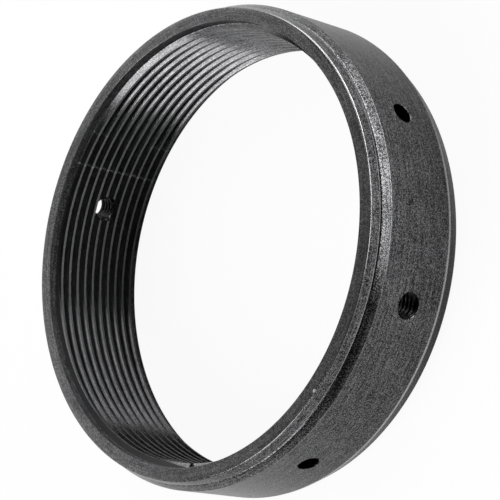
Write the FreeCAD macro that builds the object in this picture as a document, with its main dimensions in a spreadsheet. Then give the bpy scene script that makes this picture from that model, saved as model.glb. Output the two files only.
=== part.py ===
import FreeCAD, Part
import os
import Sketcher

NODE = "locking_ring"

# Driving sizes in millimetres, or in degrees where the name ends in angle.
# Depths are measured down from the front face, heights up from the rear face,
# and setbacks inwards from the plain outer cylinder.
SIZES = {
    "ring_width": 11.3,
    "thread_diameter": 42.0,
    "thread_pitch": 1.0,
    "thread_height_per_pitch": 0.5413,
    "front_recess_depth": 1.0,
    "rear_recess_depth": 0.65,
    "wall_over_thread": 2.0,
    "lip_edge_bevel": 0.1,
    "lip_draft": 0.25,
    "lip_foot_setback": 0.45,
    "lip_depth": 1.0,
    "foot_groove_width": 0.18,
    "foot_groove_cut": 0.07,
    "shoulder_foot_setback": 0.38,
    "shoulder_depth": 2.0,
    "shoulder_radius": 1.3,
    "rear_taper_height": 1.6,
    "rear_taper_setback": 0.67,
    "hole_row_height": 5.6,
    "grub_hole_count": 2,
    "grub_hole_diameter": 2.1,
    "grub_countersink_diameter": 2.5,
    "grub_countersink_angle": 90.0,
    "pin_hole_count": 4,
    "pin_hole_diameter": 2.0,
    "pin_hole_depth": 1.2,
    "pin_hole_tip_angle": 118.0,
}

# Radii and heights that several features share.
MOUTH_RADIUS = "Sizes.thread_diameter / 2"
CREST_CUT = "Sizes.thread_height_per_pitch * Sizes.thread_pitch"
CREST_RADIUS = f"{MOUTH_RADIUS} - {CREST_CUT}"
THREAD_START = "Sizes.ring_width - Sizes.front_recess_depth"
OUTER_RADIUS = f"{MOUTH_RADIUS} + Sizes.wall_over_thread"
LIP_FOOT_RADIUS = f"{OUTER_RADIUS} - Sizes.lip_foot_setback"
LIP_TOP_RADIUS = f"{LIP_FOOT_RADIUS} - Sizes.lip_draft"
FRONT_HEIGHT = "Sizes.ring_width"
LIP_FOOT_HEIGHT = f"{FRONT_HEIGHT} - Sizes.lip_depth"

SHOULDER_EDGE = (OUTER_RADIUS, f"{FRONT_HEIGHT} - Sizes.shoulder_depth")
SHOULDER_FOOT = (
    f"{OUTER_RADIUS} - Sizes.shoulder_foot_setback",
    f"{LIP_FOOT_HEIGHT} - Sizes.foot_groove_width",
)

# Half section of the ring as (radius, height), from the rear mouth of the bore
# outwards, up the outside to the front face and down the bore, which has a
# plain recess at the thread's full diameter in front of and behind the thread.
SECTION = [
    (MOUTH_RADIUS, None),
    (f"{OUTER_RADIUS} - Sizes.rear_taper_setback", None),
    (OUTER_RADIUS, "Sizes.rear_taper_height"),
    SHOULDER_EDGE,
    SHOULDER_FOOT,
    (f"{LIP_FOOT_RADIUS} - Sizes.foot_groove_cut",
     f"{LIP_FOOT_HEIGHT} - Sizes.foot_groove_width / 2"),
    (LIP_FOOT_RADIUS, LIP_FOOT_HEIGHT),
    (LIP_TOP_RADIUS, f"{FRONT_HEIGHT} - Sizes.lip_edge_bevel"),
    (f"{LIP_TOP_RADIUS} - Sizes.lip_edge_bevel", FRONT_HEIGHT),
    (MOUTH_RADIUS, FRONT_HEIGHT),
    (MOUTH_RADIUS, THREAD_START),
    (CREST_RADIUS, THREAD_START),
    (CREST_RADIUS, "Sizes.rear_recess_depth"),
    (MOUTH_RADIUS, "Sizes.rear_recess_depth"),
]


def make_sheet(doc):
    sheet = doc.addObject("Spreadsheet::Sheet", "Sizes")
    for row, (name, size) in enumerate(SIZES.items(), start=1):
        sheet.set(f"A{row}", name.replace("_", " "))
        sheet.set(f"B{row}", str(size))
        sheet.setAlias(f"B{row}", name)
    doc.recompute()
    return sheet


def origin_feature(body, role):
    return next(item for item in body.Origin.OriginFeatures if item.Role == role)


def add_sketch(body, name, plane_role):
    sketch = body.newObject("Sketcher::SketchObject", name)
    sketch.AttachmentSupport = [(origin_feature(body, plane_role), "")]
    sketch.MapMode = "FlatFace"
    return sketch


def bind(sketch, constraint, name, expression):
    index = sketch.addConstraint(constraint)
    sketch.renameConstraint(index, name)
    sketch.setExpression(f".Constraints.{name}", expression)


def section_points(sheet):
    def number(expression):
        return float(sheet.evalExpression(expression)) if expression else 0.0
    return [FreeCAD.Vector(number(radius), number(height), 0)
            for radius, height in SECTION]


def shoulder_arc(sheet, foot, edge):
    # The shoulder bulges outwards, so its centre lies on the inner side of the chord.
    radius = float(sheet.evalExpression("Sizes.shoulder_radius"))
    chord = edge - foot
    inwards = FreeCAD.Vector(chord.y, -chord.x, 0).normalize()
    reach = (radius ** 2 - (chord.Length / 2) ** 2) ** 0.5
    centre = (foot + edge) / 2 + inwards * reach
    middle = centre - inwards * radius
    return Part.Arc(edge, middle, foot)


def draw_section(body, sheet):
    sketch = add_sketch(body, "section", "XZ_Plane")
    points = section_points(sheet)
    corners = range(len(SECTION))
    arc_index = SECTION.index(SHOULDER_EDGE)
    for i in corners:
        start, end = points[i], points[(i + 1) % len(points)]
        if i == arc_index:
            sketch.addGeometry(shoulder_arc(sheet, end, start), False)
        else:
            sketch.addGeometry(Part.LineSegment(start, end), False)
    # An arc runs anticlockwise, so the shoulder's ends may be stored the other way round.
    arc = sketch.Geometry[arc_index]
    arc_starts_at_edge = (arc.StartPoint - points[arc_index]).Length < 1e-6
    first, last = [1] * len(SECTION), [2] * len(SECTION)
    if not arc_starts_at_edge:
        first[arc_index], last[arc_index] = 2, 1
    for i in corners:
        after = (i + 1) % len(SECTION)
        sketch.addConstraint(Sketcher.Constraint("Coincident", i, last[i], after, first[after]))
    for i, (radius, height) in enumerate(SECTION):
        corner = (i, first[i])
        across = Sketcher.Constraint("DistanceX", -1, 1, *corner, points[i].x)
        bind(sketch, across, f"radius_{i}", radius)
        if height is None:
            sketch.addConstraint(Sketcher.Constraint("PointOnObject", *corner, -1))
            continue
        up = Sketcher.Constraint("DistanceY", -1, 1, *corner, points[i].y)
        bind(sketch, up, f"height_{i}", height)
    rounding = Sketcher.Constraint("Radius", arc_index, arc.Radius)
    bind(sketch, rounding, "shoulder", "Sizes.shoulder_radius")
    return sketch


def revolve_section(body, sketch):
    turned = body.newObject("PartDesign::Revolution", "turned_ring")
    turned.Profile = sketch
    turned.ReferenceAxis = (sketch, ["V_Axis"])
    turned.Angle = 360
    sketch.Visibility = False
    return turned


def draw_hole_centre(body, name, diameter, turn):
    # The sketch plane touches the outer cylinder, turned about the ring's axis,
    # and its circle marks one hole of the row.
    sketch = add_sketch(body, name, "YZ_Plane")
    sketch.setExpression(".AttachmentOffset.Base.x", f"({OUTER_RADIUS}) * sin({turn})")
    sketch.setExpression(".AttachmentOffset.Base.z", f"({OUTER_RADIUS}) * cos({turn})")
    sketch.setExpression(".AttachmentOffset.Rotation.Axis.x", "0")
    sketch.setExpression(".AttachmentOffset.Rotation.Axis.y", "1")
    sketch.setExpression(".AttachmentOffset.Rotation.Axis.z", "0")
    sketch.setExpression(".AttachmentOffset.Rotation.Angle", turn)
    centre = FreeCAD.Vector(0, SIZES["hole_row_height"], 0)
    sketch.addGeometry(Part.Circle(centre, FreeCAD.Vector(0, 0, 1), 1), False)
    sketch.addConstraint(Sketcher.Constraint("PointOnObject", 0, 3, -2))
    bind(sketch, Sketcher.Constraint("DistanceY", -1, 1, 0, 3, SIZES["hole_row_height"]),
         "row_height", "Sizes.hole_row_height")
    bind(sketch, Sketcher.Constraint("Diameter", 0, 2.0), "hole_diameter", diameter)
    return sketch


def drill(body, name, sketch, diameter, depth):
    hole = body.newObject("PartDesign::Hole", name)
    hole.Profile = sketch
    hole.DepthType = "Dimension"
    hole.setExpression("Diameter", diameter)
    hole.setExpression("Depth", depth)
    sketch.Visibility = False
    return hole


def repeat_round_axis(body, name, feature, count):
    pattern = body.newObject("PartDesign::PolarPattern", name)
    pattern.Originals = [feature]
    pattern.Axis = (origin_feature(body, "Z_Axis"), [""])
    pattern.Angle = 360
    pattern.setExpression("Occurrences", count)
    body.Tip = pattern
    return pattern


def drill_grub_holes(doc, body):
    # Tapped right through the wall for the grub screws, with a small countersink.
    sketch = draw_hole_centre(body, "grub_hole_centre", "Sizes.grub_hole_diameter", "0 deg")
    doc.recompute()
    depth = f"Sizes.wall_over_thread + {CREST_CUT} + Sizes.grub_hole_diameter / 2"
    hole = drill(body, "grub_hole", sketch, "Sizes.grub_hole_diameter", depth)
    hole.DrillPoint = "Flat"
    hole.HoleCutType = "Countersink"
    hole.HoleCutCustomValues = True
    hole.setExpression("HoleCutDiameter", "Sizes.grub_countersink_diameter")
    hole.setExpression("HoleCutCountersinkAngle", "Sizes.grub_countersink_angle")
    doc.recompute()
    return repeat_round_axis(body, "grub_holes", hole, "Sizes.grub_hole_count")


def drill_pin_holes(doc, body):
    # Blind holes for the pins of a spanner, with a grub screw halfway between two of them.
    turn = "180 deg / Sizes.pin_hole_count"
    sketch = draw_hole_centre(body, "pin_hole_centre", "Sizes.pin_hole_diameter", turn)
    doc.recompute()
    hole = drill(body, "pin_hole", sketch, "Sizes.pin_hole_diameter", "Sizes.pin_hole_depth")
    hole.DrillPoint = "Angled"
    hole.setExpression("DrillPointAngle", "Sizes.pin_hole_tip_angle")
    doc.recompute()
    return repeat_round_axis(body, "pin_holes", hole, "Sizes.pin_hole_count")


def build_ring(doc, sheet):
    body = doc.addObject("PartDesign::Body", NODE)
    body.Label = NODE
    turned = revolve_section(body, draw_section(body, sheet))
    doc.recompute()
    volumes = [turned.Shape.Volume]
    for drill_row in (drill_grub_holes, drill_pin_holes):
        row = drill_row(doc, body)
        doc.recompute()
        volumes.append(row.Shape.Volume)
    if not volumes[0] > volumes[1] > volumes[2]:
        raise RuntimeError(f"a row of holes cut nothing: {volumes}")
    return body


def check(doc, body):
    for item in doc.Objects:
        if {"Invalid", "Error"} & set(item.State):
            raise RuntimeError(f"{item.Label} failed: {item.State}")
    shape = body.Shape
    if shape.isNull() or not shape.isValid() or len(shape.Solids) != 1:
        raise RuntimeError(f"{body.Label} is not one valid solid")


def main():
    doc = FreeCAD.newDocument("lens_locking_ring")
    sheet = make_sheet(doc)
    ring = build_ring(doc, sheet)
    doc.recompute()
    check(doc, ring)
    os.makedirs("parts", exist_ok=True)
    ring.Shape.exportStep(f"parts/{ring.Label}.step")
    box = ring.Shape.optimalBoundingBox()
    size = f"{box.XLength:.2f} x {box.YLength:.2f} x {box.ZLength:.2f} mm"
    print(f"{ring.Label}: {size}, {ring.Shape.Volume:.1f} mm3")


main()
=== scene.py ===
import math

import bmesh
import bpy
from mathutils import Matrix, Quaternion, Vector


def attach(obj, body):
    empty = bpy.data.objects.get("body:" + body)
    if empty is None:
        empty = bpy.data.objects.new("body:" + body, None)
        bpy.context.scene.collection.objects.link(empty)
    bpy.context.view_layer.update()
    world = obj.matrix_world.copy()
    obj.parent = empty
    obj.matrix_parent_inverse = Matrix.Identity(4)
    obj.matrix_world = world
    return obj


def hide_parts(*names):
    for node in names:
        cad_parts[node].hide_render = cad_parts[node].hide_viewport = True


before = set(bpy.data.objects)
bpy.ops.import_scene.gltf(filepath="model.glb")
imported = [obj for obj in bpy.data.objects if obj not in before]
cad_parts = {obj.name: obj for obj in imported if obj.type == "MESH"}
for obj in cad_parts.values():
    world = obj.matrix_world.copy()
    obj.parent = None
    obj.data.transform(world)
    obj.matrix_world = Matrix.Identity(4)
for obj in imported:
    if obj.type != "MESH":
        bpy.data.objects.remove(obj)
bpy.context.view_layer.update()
mm = 0.001
weld = 1e-7                    # vertices nearer than this are one, in metres


ring = {
    "width": 11.3,
    "steps": 720,              # facets round the ring
    "drillRadius": 20.0,       # bore before the thread is tapped
    "recessRadius": 21.0,      # plain mouths in front of and behind the thread
    "frontRecess": 0.5,
    "rearRecess": 0.65,
    "outerRadius": 23.0,
    "lipTopRadius": 22.30,
    "lipFootRadius": 22.55,
    "lipBevel": 0.10,
    "faceRoll": 0.36,          # the face falls away slightly before its outer edge
    "faceDrop": 0.014,
    "rollMiddle": (0.45, 0.28),  # shares of the roll and of the drop, at a point on the way
    "lipDepth": 1.0,
    "grooveWidth": 0.18,
    "grooveCut": 0.07,
    "shoulderFootRadius": 22.59,
    "shoulderDepth": 1.97,
    "shoulderArc": 14.0,
    "shoulderSteps": 7,
    "rearTaperHeight": 1.6,
    "rearTaperRadius": 22.33,
    "edgeBreak": 0.035,
    "softBreak": 0.08,
    "sharpAngle": 13,          # corners above it are shaded crisp
    "hold": 0.03,              # short runs that keep flat faces' shading straight
    "tapOvercut": 1.0,         # how far the big tap reaches past the ring's faces
    "holeOvercut": 0.6,        # and the cross holes' cutters past its wall
}

thread = {
    "pitch": 1.0,
    "crestRadius": 20.4587,
    "rootRadius": 21.0,
    "crestFlat": 0.25,         # shares of the pitch
    "rootFlat": 0.125,
    "firstCrest": 10.533,      # height of a crest's middle at azimuth 0
    "fadeStart": -82.0,        # azimuths between which the first crest fades out
    "fadeEnd": -71.5,
    "fadeSteps": 21,
    "fadeMargin": 0.02,
    "clearSteps": 720,
    "clearInside": 19.5,       # inner radius of what clears the first turn
}

grubHole = {
    "azimuths": (0, 180),
    "height": 5.6,
    "pitch": 0.45,
    "crestRadius": 1.03,
    "rootRadius": 1.22,
    "crestFlat": 0.25,
    "rootFlat": 0.2,
    "firstCrest": 0.0,
    "steps": 48,
    "sinkRadius": 1.30,
    "innerSinkRadius": 1.25,
    "shadeRadius": 1.29,       # shade is painted within this of the hole's axis
}

pinHole = {
    "azimuths": (45, 135, 225, 315),
    "height": 5.6,
    "radius": 1.0,
    "depth": 1.2,
    "tip": 0.6,
    "rim": 0.07,
    "steps": 64,
    "shadeRadius": 1.02,
}


def wire(bm, points, closed):
    verts = [bm.verts.new((r * mm, 0, z * mm)) for r, z in points]
    ends = verts[1:] + verts[:1] if closed else verts[1:]
    for first, second in zip(verts, ends):
        bm.edges.new((first, second))
    return verts


def breakCorners(bm, verts, size):
    bmesh.ops.bevel(bm, geom=verts, offset=size * mm, offset_type="OFFSET", affect="VERTICES",
                    segments=3, profile=0.5, material=-1)


def spinRound(bm, steps, lift=0.0):
    # one sector is spun, and its copies are set round the axis, because a long spin is slow
    sectors = next(n for n in (24, 16, 12, 8, 6, 4, 2) if steps % n == 0)
    bmesh.ops.spin(bm, geom=bm.verts[:] + bm.edges[:], cent=(0, 0, 0), axis=(0, 0, 1),
                   dvec=(0, 0, lift * mm / steps), angle=math.tau / sectors,
                   steps=steps // sectors, use_merge=False)
    sector = bm.verts[:] + bm.edges[:] + bm.faces[:]
    for turn in range(1, sectors):
        copied = bmesh.ops.duplicate(bm, geom=sector)["geom"]
        moved = [v for v in copied if isinstance(v, bmesh.types.BMVert)]
        bmesh.ops.rotate(bm, verts=moved, cent=(0, 0, 0),
                         matrix=Matrix.Rotation(math.tau * turn / sectors, 3, "Z"))
        bmesh.ops.translate(bm, verts=moved, vec=(0, 0, lift * mm * turn / sectors))
    bmesh.ops.remove_doubles(bm, verts=bm.verts[:], dist=weld)


def keep(bm, name):
    mesh = bpy.data.meshes.new(name)
    bm.to_mesh(mesh)
    bm.free()
    piece = bpy.data.objects.new(name, mesh)
    bpy.context.scene.collection.objects.link(piece)
    return piece


def shoulderLine(v):
    edge = Vector((v["outerRadius"], v["width"] - v["shoulderDepth"]))
    foot = Vector((v["shoulderFootRadius"], v["width"] - v["lipDepth"] - v["grooveWidth"]))
    chord = foot - edge
    inwards = Vector((-chord.y, chord.x)).normalized()
    reach = math.sqrt(v["shoulderArc"] ** 2 - (chord.length / 2) ** 2)
    centre = (edge + foot) / 2 + inwards * reach
    start, end = (math.atan2(*(p - centre).yx) for p in (edge, foot))
    turns = [start + (end - start) * i / v["shoulderSteps"] for i in range(v["shoulderSteps"] + 1)]
    return [(centre.x + v["shoulderArc"] * math.cos(a), centre.y + v["shoulderArc"] * math.sin(a))
            for a in turns]


def turnBlank(v):
    top = v["width"]
    wallFoot = v["rearTaperHeight"] + v["softBreak"] + v["hold"]
    wallTop = top - v["shoulderDepth"] - v["hold"]
    lipFoot = top - v["lipDepth"]
    faceEdge = v["lipTopRadius"] - v["lipBevel"]
    rollStart = faceEdge - v["faceRoll"]
    along, down = v["rollMiddle"]
    *shoulder, shoulderFoot = shoulderLine(v)
    # the section, from the bore's rear end outwards and round to its front: radius, height, corner
    corners = [
        (v["drillRadius"], v["rearRecess"], "plain"),
        (v["recessRadius"], v["rearRecess"], "plain"),
        (v["recessRadius"], 0, "crisp"),
        (v["rearTaperRadius"], 0, "crisp"),
        (v["outerRadius"], v["rearTaperHeight"], "soft"),
        (v["outerRadius"], wallFoot, "plain"),
        (v["outerRadius"], wallTop, "plain"),
        *((r, z, "plain") for r, z in shoulder),
        (*shoulderFoot, "crisp"),
        (v["lipFootRadius"] - v["grooveCut"], lipFoot - v["grooveWidth"] / 2, "plain"),
        (v["lipFootRadius"], lipFoot, "crisp"),
        (v["lipTopRadius"], top - v["lipBevel"], "crisp"),
        (faceEdge, top - v["faceDrop"], "plain"),
        (faceEdge - v["faceRoll"] * along, top - v["faceDrop"] * down, "plain"),
        (rollStart, top, "plain"),
        (rollStart - v["hold"], top, "plain"),
        (v["recessRadius"], top, "crisp"),
        (v["recessRadius"], top - v["frontRecess"], "plain"),
        (v["drillRadius"], top - v["frontRecess"], "plain"),
    ]
    bm = bmesh.new()
    verts = wire(bm, [(r, z) for r, z, kind in corners], closed=True)
    for wanted, size in (("soft", v["softBreak"]), ("crisp", v["edgeBreak"])):
        chosen = [vert for vert, (r, z, kind) in zip(verts, corners) if kind == wanted]
        breakCorners(bm, chosen, size)
    spinRound(bm, v["steps"])
    bmesh.ops.recalc_face_normals(bm, faces=bm.faces[:])
    return keep(bm, "blank")


def cutTap(name, v, bottom, top, steps):
    # a screw tap: the thread's groove as a solid, wound up its own axis and cut off square
    pitch = v["pitch"]
    crest, root = v["crestFlat"] * pitch / 2, v["rootFlat"] * pitch / 2
    lowest = math.floor((bottom - v["firstCrest"]) / pitch) - 2
    highest = math.ceil((top - v["firstCrest"]) / pitch) + 2
    points = []
    for turn in range(lowest, highest):
        middle = v["firstCrest"] + turn * pitch
        points += [(v["crestRadius"], middle - crest), (v["crestRadius"], middle + crest),
                   (v["rootRadius"], middle + pitch / 2 - root),
                   (v["rootRadius"], middle + pitch / 2 + root)]
    bm = bmesh.new()
    wire(bm, points, closed=False)
    spinRound(bm, steps, lift=pitch)
    for height, side in ((bottom, -1), (top, 1)):
        cut = bmesh.ops.bisect_plane(bm, geom=bm.verts[:] + bm.edges[:] + bm.faces[:],
                                     dist=weld / 100, plane_co=(0, 0, height * mm),
                                     plane_no=(0, 0, side), clear_outer=True)
        rim = [e for e in cut["geom_cut"] if isinstance(e, bmesh.types.BMEdge)]
        bmesh.ops.contextual_create(bm, geom=rim)
    bmesh.ops.recalc_face_normals(bm, faces=bm.faces[:])
    return keep(bm, name)


def coil(v, start, turn, steps):
    # clears the groove and the crest before it, for part of a turn up the thread
    pitch = v["pitch"]
    bottom = v["firstCrest"] - pitch / 2 + pitch * start / 360
    bm = bmesh.new()
    wire(bm, [(v["clearInside"], bottom), (v["rootRadius"], bottom),
              (v["rootRadius"], bottom + 2 * pitch), (v["clearInside"], bottom + 2 * pitch)],
         closed=True)
    bmesh.ops.rotate(bm, verts=bm.verts[:], cent=(0, 0, 0),
                     matrix=Matrix.Rotation(math.radians(start), 3, "Z"))
    bmesh.ops.spin(bm, geom=bm.verts[:] + bm.edges[:], cent=(0, 0, 0), axis=(0, 0, 1),
                   dvec=(0, 0, pitch * turn / 360 * mm / steps), angle=math.radians(turn),
                   steps=steps, use_merge=False)
    bmesh.ops.holes_fill(bm, edges=[e for e in bm.edges if e.is_boundary], sides=4)
    bmesh.ops.recalc_face_normals(bm, faces=bm.faces[:])
    return bm


def clearFirstTurn(v):
    # the thread has no crest before its first full turn: one fades out and is cut away
    fade = v["fadeEnd"] - v["fadeStart"]
    bm = coil(v, v["fadeStart"], fade, v["fadeSteps"])
    for vert in bm.verts:
        radius = vert.co.xy.length / mm
        if radius > v["crestRadius"]:
            azimuth = math.degrees(math.atan2(vert.co.y, vert.co.x))
            share = (azimuth - v["fadeStart"]) / fade
            risen = v["crestRadius"] + (v["rootRadius"] - v["crestRadius"]) * share
            target = risen - v["fadeMargin"]
            vert.co.xy = vert.co.xy * (target / radius)
    fullTurn = coil(v, v["fadeEnd"], 360, v["clearSteps"])
    return [keep(bm, "fadeCutter"), keep(fullTurn, "turnCutter")]


def lathe(name, points, steps):
    bm = bmesh.new()
    wire(bm, points, closed=False)
    spinRound(bm, steps)
    bmesh.ops.recalc_face_normals(bm, faces=bm.faces[:])
    return keep(bm, name)


def aim(piece, azimuth, height):
    # from standing on the origin to pointing out of the ring's wall
    place = (Matrix.Rotation(math.radians(azimuth), 4, "Z")
             @ Matrix.Translation((0, 0, height * mm))
             @ Matrix.Rotation(math.radians(90), 4, "Y"))
    piece.data.transform(place)
    return piece


def makeCutters():
    past, aside = ring["tapOvercut"], ring["holeOvercut"]
    cutters = [cutTap("barrelTap", thread, -past, ring["width"] + past, ring["steps"])]
    cutters += clearFirstTurn(thread)
    inner, outer = ring["drillRadius"] - aside, ring["outerRadius"] + aside
    wide = grubHole["sinkRadius"]
    apex = thread["crestRadius"] + grubHole["innerSinkRadius"]
    for azimuth in grubHole["azimuths"]:
        tap = cutTap("grubTap", grubHole, inner, outer, grubHole["steps"])
        sink = lathe("countersink", [(0, ring["outerRadius"] - wide), (wide + aside, outer),
                                     (0, outer)], grubHole["steps"])
        innerSink = lathe("innerCountersink", [(0, inner), (apex - inner, inner), (0, apex)],
                          grubHole["steps"])
        cutters += [aim(cutter, azimuth, grubHole["height"]) for cutter in (tap, sink, innerSink)]
    floor = ring["outerRadius"] - pinHole["depth"]
    rimStart = ring["outerRadius"] - pinHole["rim"]
    for azimuth in pinHole["azimuths"]:
        drill = lathe("drill", [(0, floor - pinHole["tip"]), (pinHole["radius"], floor),
                                (pinHole["radius"], rimStart),
                                (pinHole["radius"] + outer - rimStart, outer), (0, outer)],
                      pinHole["steps"])
        cutters.append(aim(drill, azimuth, pinHole["height"]))
    return cutters


def cutAway(blank, cutters):
    tray = bpy.data.collections.new("cutters")
    bpy.context.scene.collection.children.link(tray)
    for cutter in cutters:
        bpy.context.scene.collection.objects.unlink(cutter)
        tray.objects.link(cutter)
    cut = blank.modifiers.new("cut", "BOOLEAN")
    cut.operation = "DIFFERENCE"
    cut.solver = "MANIFOLD"
    cut.operand_type = "COLLECTION"
    cut.collection = tray
    depsgraph = bpy.context.evaluated_depsgraph_get()
    depsgraph.update()
    mesh = bpy.data.meshes.new_from_object(blank.evaluated_get(depsgraph))
    for cutter in cutters:
        bpy.data.objects.remove(cutter)
    bpy.data.collections.remove(tray)
    bpy.data.objects.remove(blank)
    return mesh


def makeRing():
    mesh = cutAway(turnBlank(ring), makeCutters())
    mesh.name = "lockingRing"
    bm = bmesh.new()
    bm.from_mesh(mesh)
    bmesh.ops.remove_doubles(bm, verts=bm.verts[:], dist=2 * weld)
    bmesh.ops.dissolve_degenerate(bm, edges=bm.edges[:], dist=2 * weld)
    openEdges = sum(1 for e in bm.edges if not e.is_manifold)
    bm.to_mesh(mesh)
    bm.free()
    mesh.shade_smooth()
    mesh.set_sharp_from_angle(angle=math.radians(ring["sharpAngle"]))
    piece = bpy.data.objects.new("lockingRing", mesh)
    bpy.context.scene.collection.objects.link(piece)
    mesh.calc_loop_triangles()
    print("ring cut:", len(mesh.loop_triangles), "triangles,", openEdges, "open edges")
    return piece


lockingRing = makeRing()
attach(lockingRing, "root")
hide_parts("locking_ring")


class Flow:
    # one output socket that can be used in sums
    def __init__(self, tree, socket=None):
        self.tree = tree
        self.socket = socket

    def make(self, kind, settings=None, inputs=None, output=0):
        node = self.tree.nodes.new(kind)
        for name, value in (settings or {}).items():
            setattr(node, name, value)
        for name, value in (inputs or {}).items():
            if isinstance(value, Flow):
                self.tree.links.new(value.socket, node.inputs[name])
            else:
                node.inputs[name].default_value = value
        return Flow(self.tree, node.outputs[output] if node.outputs else None)

    def maths(self, operation, *values):
        return self.make("ShaderNodeMath", {"operation": operation}, dict(enumerate(values)))

    def blend(self, share, first, second):
        return self.make("ShaderNodeMix", {"data_type": "RGBA", "clamp_factor": True}, {
            0: share, 6: first, 7: second}, output=2)

    def ramp(self, value, low, high, start, end, kind="LINEAR"):
        return self.make("ShaderNodeMapRange", {"interpolation_type": kind}, {
            "Value": value, "From Min": low, "From Max": high, "To Min": start, "To Max": end})

    def noise(self, vector, scale, detail, roughness):
        return self.make("ShaderNodeTexNoise", inputs={
            "Vector": vector, "Scale": scale, "Detail": detail, "Roughness": roughness})

    def above(self, value, limit):
        return self.maths("GREATER_THAN", value, limit)

    def below(self, value, limit):
        return self.maths("LESS_THAN", value, limit)

    def __add__(self, other):
        return self.maths("ADD", self, other)

    def __radd__(self, other):
        return self.maths("ADD", other, self)

    def __sub__(self, other):
        return self.maths("SUBTRACT", self, other)

    def __rsub__(self, other):
        return self.maths("SUBTRACT", other, self)

    def __mul__(self, other):
        return self.maths("MULTIPLY", self, other)

    def __rmul__(self, other):
        return self.maths("MULTIPLY", other, self)

    def __truediv__(self, other):
        return self.maths("DIVIDE", self, other)

    def __pow__(self, other):
        return self.maths("POWER", self, other)


finish = {
    "dark": (0.018, 0.018, 0.019, 1),      # what the black layer reflects head on
    "light": (0.240, 0.240, 0.246, 1),     # where a grain glints
    "bareAndHighlight": (0.60, 0.60, 0.61, 1),         # worn edges, and painted highlight lines along edges
    "chipped": (0.80, 0.80, 0.80, 1),
    "paintedHoleShade": (0.0, 0.0, 0.0, 1),          # painted shade deep in the cross holes
    "metallic": 0.96,
    "roughness": 0.26,
    "boreRoughness": 0.16,
    "roughnessChange": 0.10,
    "level": 0.33,                         # mean place between dark and light
    "glint": (0.55, 0.90),                 # a grain's strength, and how far clouds change it
    "grainSize": 0.080,                    # mm
    "grainDepth": 0.0035,
    "grainNoise": (1.0, 0.5),              # detail and roughness of the noise
    "boreGrain": 0.45,                     # share of the grain inside the bore
    "boreEdge": (20.90, 20.98),            # radii between which it comes back
    "faceGrain": 0.53,                     # share of it on the front face
    "faceDepth": 0.05,                     # and how far below its plane that counts
    "turningPitch": 0.19,
    "turningLength": 3.5,
    "turningShare": 1.1,
    "turningDepth": 0.0015,
    "turningNoise": (2.0, 0.55),
    "cloudSize": 4.0,
    "cloudNoise": (3.0, 0.5),
    "wearAndHighlights": (
        # radius, height, reach, strength, azimuth where the wear and painted highlight are
        # strongest
        (22.24, 11.26, 0.08, 0.60, 25),
        (22.30, 11.19, 0.06, 0.60, 15),
        (22.55, 10.30, 0.10, 0.62, 15),
        (23.00, 9.33, 0.08, 0.30, 0),
        (22.99, 1.62, 0.25, 1.00, -15),
        (22.33, 0.00, 0.08, 0.20, 10),
        (21.00, 11.30, 0.06, 0.18, 180),
    ),
    "wearAndHighlightElsewhere": 0.05,
    "wearAndHighlightSpread": (0.25, 0.75),            # cosines between which the wear and painted highlight start
    "wearAndHighlightMottle": (0.6, 0.4, 0.3),         # even part, cloudy part, grainy part
    "crestWear": 0.14,
    "crestReach": 0.03,
    "scores": (
        # light lines drawn along the bore: azimuth, from height, to height, strength
        (169.2, 0.6, 10.6, 0.65),
        (159.5, 0.6, 3.2, 0.55),
        (159.5, 8.6, 10.4, 0.55),
    ),
    "scoreWidth": 0.10,
    "scoreMargin": 0.02,                   # how far past the bore's wall their mask reaches
    "chips": (
        # spots where the black is gone: azimuth, radius, height, reach
        (335.7, 22.10, 11.30, 0.22),
    ),
    "chipCore": 0.5,                       # share of a chip's reach that is bare through
    "chipStrength": 0.9,
    "recessBottom": 10.35,                 # the front recess and first open flank lie above it
    "recessMargin": 0.01,                  # how far past the recess's wall its mask reaches
    "recessShade": 0.32,                   # how much painted shade darkens the recess's wall
    "recessRoughness": 0.30,               # added to the roughness there
    "firstFlankShade": 0.88,               # and the thread's first open flank
    "flankEdge": (20.93, 20.97),           # radii between which flank turns to wall
    "taperShade": 0.6,                     # how much painted shade darkens the rear taper
    "taperTop": 1.55,
    "taperInside": 22.2,
    "holeShade": 0.12,                     # how much of the lighter colour is left under the painted shade in the holes
    "holeMargins": (0.02, 0.03),           # their mask's distance from the bore and the wall
}


# an edge's wear together with a painted highlight line along it, strongest towards one azimuth
def wornAndHighlitEdge(flow, v, where, row):
    x, y, radius, height = where
    edgeRadius, edgeHeight, reach, strength, azimuth = row
    across, along = radius - edgeRadius * mm, height - edgeHeight * mm
    distance = (across * across + along * along) ** 0.5
    side = math.radians(azimuth)
    facing = (x * math.cos(side) + y * math.sin(side)) / radius
    handledAndLitSide = flow.ramp(facing, *v["wearAndHighlightSpread"], v["wearAndHighlightElsewhere"], 1.0, "SMOOTHSTEP")
    return handledAndLitSide * flow.ramp(distance, 0.0, reach * mm, strength, 0.0, "SMOOTHSTEP")


def scored(flow, v, where, row):
    x, y, radius, height = where
    azimuth, bottom, top, strength = row
    turn = math.radians(azimuth)
    aside = flow.maths("ABSOLUTE", y * math.cos(turn) - x * math.sin(turn))
    facing = flow.above(x * math.cos(turn) + y * math.sin(turn), 0.0)
    inside = flow.below(radius, (ring["recessRadius"] + v["scoreMargin"]) * mm)
    reached = flow.above(height, bottom * mm) * flow.below(height, top * mm)
    line = flow.ramp(aside, 0.0, v["scoreWidth"] * mm, strength, 0.0, "SMOOTHSTEP")
    return line * facing * inside * reached


def chipped(flow, v, place, row):
    azimuth, radius, height, reach = row
    turn = math.radians(azimuth)
    spot = (radius * mm * math.cos(turn), radius * mm * math.sin(turn), height * mm)
    distance = flow.make("ShaderNodeVectorMath", {"operation": "DISTANCE"},
                         {0: place, 1: spot}, output=1)
    return flow.ramp(distance, reach * v["chipCore"] * mm, reach * mm, v["chipStrength"], 0.0)


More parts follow.
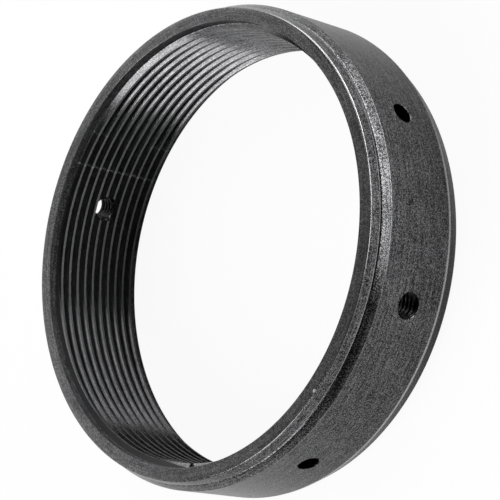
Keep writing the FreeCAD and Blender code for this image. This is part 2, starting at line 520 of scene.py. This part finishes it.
def insideHoles(flow, v, where):
    # 1 inside the cross holes' walls, 0 elsewhere; one test serves a hole and its opposite
    x, y, radius, height = where
    found = None
    for hole in (grubHole, pinHole):
        up = height - hole["height"] * mm
        for azimuth in hole["azimuths"][:len(hole["azimuths"]) // 2]:
            turn = math.radians(azimuth)
            aside = y * math.cos(turn) - x * math.sin(turn)
            near = flow.below((aside * aside + up * up) ** 0.5, hole["shadeRadius"] * mm)
            found = near if found is None else flow.maths("MAXIMUM", found, near)
    fromBore, fromWall = v["holeMargins"]
    under = flow.below(radius, (ring["outerRadius"] - fromWall) * mm)
    beyond = flow.above(radius, (thread["rootRadius"] + fromBore) * mm)
    return found * under * beyond


def anodised(v):
    material = bpy.data.materials.new("blackAnodised")
    material.use_nodes = True
    tree = material.node_tree
    tree.nodes.clear()
    flow = Flow(tree)
    place = flow.make("ShaderNodeTexCoord", output=3)
    x, y, height = (flow.make("ShaderNodeSeparateXYZ", inputs={0: place}, output=axis)
                    for axis in range(3))
    radius = (x * x + y * y) ** 0.5
    around = flow.maths("ARCTAN2", y, x) * ring["outerRadius"] / v["turningLength"]
    where = (x, y, radius, height)

    # fine grain of the blasted surface, one shade to a grain
    cells = flow.make("ShaderNodeTexVoronoi", inputs={
        "Vector": place, "Scale": 1 / (v["grainSize"] * mm)}, output=1)
    shade = flow.make("ShaderNodeSeparateXYZ", inputs={0: cells}, output=0)

    # streaks left by turning, drawn round the ring, and clouds over all of it
    turned = flow.make("ShaderNodeCombineXYZ", inputs={
        0: radius / (v["turningPitch"] * mm), 1: around, 2: height / (v["turningPitch"] * mm)})
    streak = flow.noise(turned, 1.0, *v["turningNoise"])
    cloud = flow.noise(place, 1 / (v["cloudSize"] * mm), *v["cloudNoise"])

    # all three are weaker in the bore, and on the face
    boreStart, boreEnd = (edge * mm for edge in v["boreEdge"])
    inBore = flow.ramp(radius, boreStart, boreEnd, v["boreGrain"], 1.0)
    onFace = flow.above(height, (ring["width"] - v["faceDepth"]) * mm)
    calm = (1 - onFace * (1 - v["faceGrain"])) * inBore
    even, cloudy = v["glint"]
    glint = shade * shade * (even + cloud * cloudy) - v["level"]
    level = v["level"] + (glint + (streak - 0.5) * v["turningShare"]) * calm
    colour = flow.blend(level, v["dark"], v["light"])

    # painted shade: the rear taper, the front recess and the first open flank are darkened
    taper = flow.below(height, v["taperTop"] * mm) * flow.above(radius, v["taperInside"] * mm)
    colour = flow.blend(taper * v["taperShade"], colour, v["dark"])
    recessed = flow.above(height, v["recessBottom"] * mm) * flow.below(
        radius, (ring["recessRadius"] + v["recessMargin"]) * mm)
    flankStart, flankEnd = (edge * mm for edge in v["flankEdge"])
    recess = flow.ramp(radius, flankStart, flankEnd, v["firstFlankShade"], v["recessShade"])
    colour = flow.blend(recessed * recess, colour, v["dark"])

    # the black is thinner along the edges and on the thread's crests, and painted highlight lines
    # brighten the edges
    crestTop = thread["crestRadius"] + v["crestReach"]
    wornAndHighlit = flow.ramp(radius, thread["crestRadius"] * mm, crestTop * mm,
                     v["crestWear"], 0.0, "SMOOTHSTEP")
    for mark, rows in ((wornAndHighlitEdge, v["wearAndHighlights"]), (scored, v["scores"])):
        for row in rows:
            wornAndHighlit = flow.maths("MAXIMUM", wornAndHighlit, mark(flow, v, where, row))
    even, cloudy, grainy = v["wearAndHighlightMottle"]
    wornAndHighlit = wornAndHighlit * (even + cloud * cloudy + shade * grainy)
    colour = flow.blend(wornAndHighlit, colour, v["bareAndHighlight"])
    for row in v["chips"]:
        colour = flow.blend(chipped(flow, v, place, row), colour, v["chipped"])
    # painted shade inside the cross holes' walls
    colour = flow.blend(insideHoles(flow, v, where) * (1 - v["holeShade"]), colour, v["paintedHoleShade"])

    smoother = (1 - inBore) * ((v["roughness"] - v["boreRoughness"]) / (1 - v["boreGrain"]))
    mottle = (shade + streak + cloud - 1.5) * calm      # each of the three is about 0.5
    roughness = v["roughness"] - smoother + recessed * v["recessRoughness"]
    roughness = roughness + mottle * v["roughnessChange"]
    grain = flow.noise(place, 1 / (v["grainSize"] * mm), *v["grainNoise"])
    relief = (grain * v["grainDepth"] + streak * v["turningDepth"]) * calm
    bump = flow.make("ShaderNodeBump", inputs={
        "Height": relief, "Distance": mm, "Strength": 1.0})
    shader = flow.make("ShaderNodeBsdfPrincipled", inputs={
        "Base Color": colour, "Metallic": v["metallic"], "Roughness": roughness, "Normal": bump})
    flow.make("ShaderNodeOutputMaterial", inputs={"Surface": shader})
    return material


lockingRing.data.materials.clear()
lockingRing.data.materials.append(anodised(finish))
print("finish made")


stage = {
    "floorColour": (0.85, 0.85, 0.85, 1),
    "floorGlow": 0.93,
    "floorSize": 3.0,
    "lampDistance": 0.6,
    "lamps": (
        # azimuth, elevation, degrees across, radiance
        (262, 44, 40, 6.0),
        (244, 31, 24, 2.6),
        (225, 13, 22, 1.6),
        (218, 30, 24, 1.2),
        (197, 31, 24, 1.9),
        (167, 31, 24, 2.1),
        (184, 54, 26, 0.40),
        (157, 13, 22, 2.5),
        (135, 13, 22, 3.0),
        (112, 13, 22, 4.5),
        (90, 13, 22, 8.5),
        (68, 13, 22, 8.5),
        (45, 13, 22, 5.8),
        (20, 13, 22, 4.5),
        (105, 50, 40, 1.6),
    ),
    "room": (0.02, 0.02, 0.02, 1),
    "white": (1, 1, 1, 1),     # what the camera sees behind the floor and in its glow
}


def makeFloor(v):
    bm = bmesh.new()
    bmesh.ops.create_grid(bm, x_segments=1, y_segments=1, size=v["floorSize"] / 2)
    floor = keep(bm, "floor")
    material = bpy.data.materials.new("paleFloor")
    material.use_nodes = True
    material.node_tree.nodes.clear()
    flow = Flow(material.node_tree)
    paper = flow.make("ShaderNodeBsdfDiffuse", inputs={"Color": v["floorColour"]})
    glow = flow.make("ShaderNodeEmission", inputs={"Color": v["white"], "Strength": 1.0})
    path = flow.make("ShaderNodeLightPath", output=0)
    share = path * v["floorGlow"]
    mixed = flow.make("ShaderNodeMixShader", inputs={0: share, 1: paper, 2: glow})
    flow.make("ShaderNodeOutputMaterial", inputs={"Surface": mixed})
    floor.data.materials.append(material)


def direction(azimuth, elevation):
    a, e = math.radians(azimuth), math.radians(elevation)
    return Vector((math.cos(a) * math.cos(e), math.sin(a) * math.cos(e), math.sin(e)))


def makeLamp(name, azimuth, elevation, distance, across, radiance):
    lamp = bpy.data.lights.new(name, "AREA")
    lamp.shape = "DISK"
    lamp.size = 2 * distance * math.tan(math.radians(across / 2))
    lamp.energy = radiance * math.pi * math.pi * (lamp.size / 2) ** 2
    holder = bpy.data.objects.new(name, lamp)
    back = direction(azimuth, elevation)
    holder.location = back * distance
    holder.rotation_mode = "QUATERNION"
    holder.rotation_quaternion = back.to_track_quat("Z", "Y")
    holder.visible_camera = False
    bpy.context.scene.collection.objects.link(holder)


def makeWorld(v):
    world = bpy.data.worlds.new("studio")
    bpy.context.scene.world = world
    world.use_nodes = True
    world.node_tree.nodes.clear()
    flow = Flow(world.node_tree)
    path = flow.make("ShaderNodeLightPath", output=0)
    room = flow.make("ShaderNodeBackground", inputs={"Color": v["room"]})
    bright = flow.make("ShaderNodeBackground", inputs={"Color": v["white"]})
    mixed = flow.make("ShaderNodeMixShader", inputs={0: path, 1: room, 2: bright})
    flow.make("ShaderNodeOutputWorld", inputs={"Surface": mixed})


makeFloor(stage)
for number, (azimuth, elevation, across, radiance) in enumerate(stage["lamps"]):
    makeLamp(f"softbox{number + 1}", azimuth, elevation, stage["lampDistance"], across, radiance)
makeWorld(stage)

camera = {
    "target": (1.690, 0.475, 5.65),
    "azimuth": 3.659,
    "elevation": 43.059,
    "distance": 208.641,
    "roll": -77.670,
    "lens": 159.563,
    "sensor": 36,
    "reach": (0.01, 10),       # nearest and farthest it sees, in metres
}


def makeCamera(v):
    lens = bpy.data.cameras.new("camera")
    lens.lens = v["lens"]
    lens.sensor_width = v["sensor"]
    lens.clip_start, lens.clip_end = v["reach"]
    holder = bpy.data.objects.new("camera", lens)
    back = direction(v["azimuth"], v["elevation"])
    holder.location = Vector(v["target"]) * mm + back * v["distance"] * mm
    holder.rotation_mode = "QUATERNION"
    level = back.to_track_quat("Z", "Y")
    holder.rotation_quaternion = level @ Quaternion((0, 0, 1), math.radians(v["roll"]))
    bpy.context.scene.collection.objects.link(holder)
    bpy.context.scene.camera = holder


makeCamera(camera)
bpy.context.scene.view_settings.view_transform = "Standard"
print("stage and camera placed")
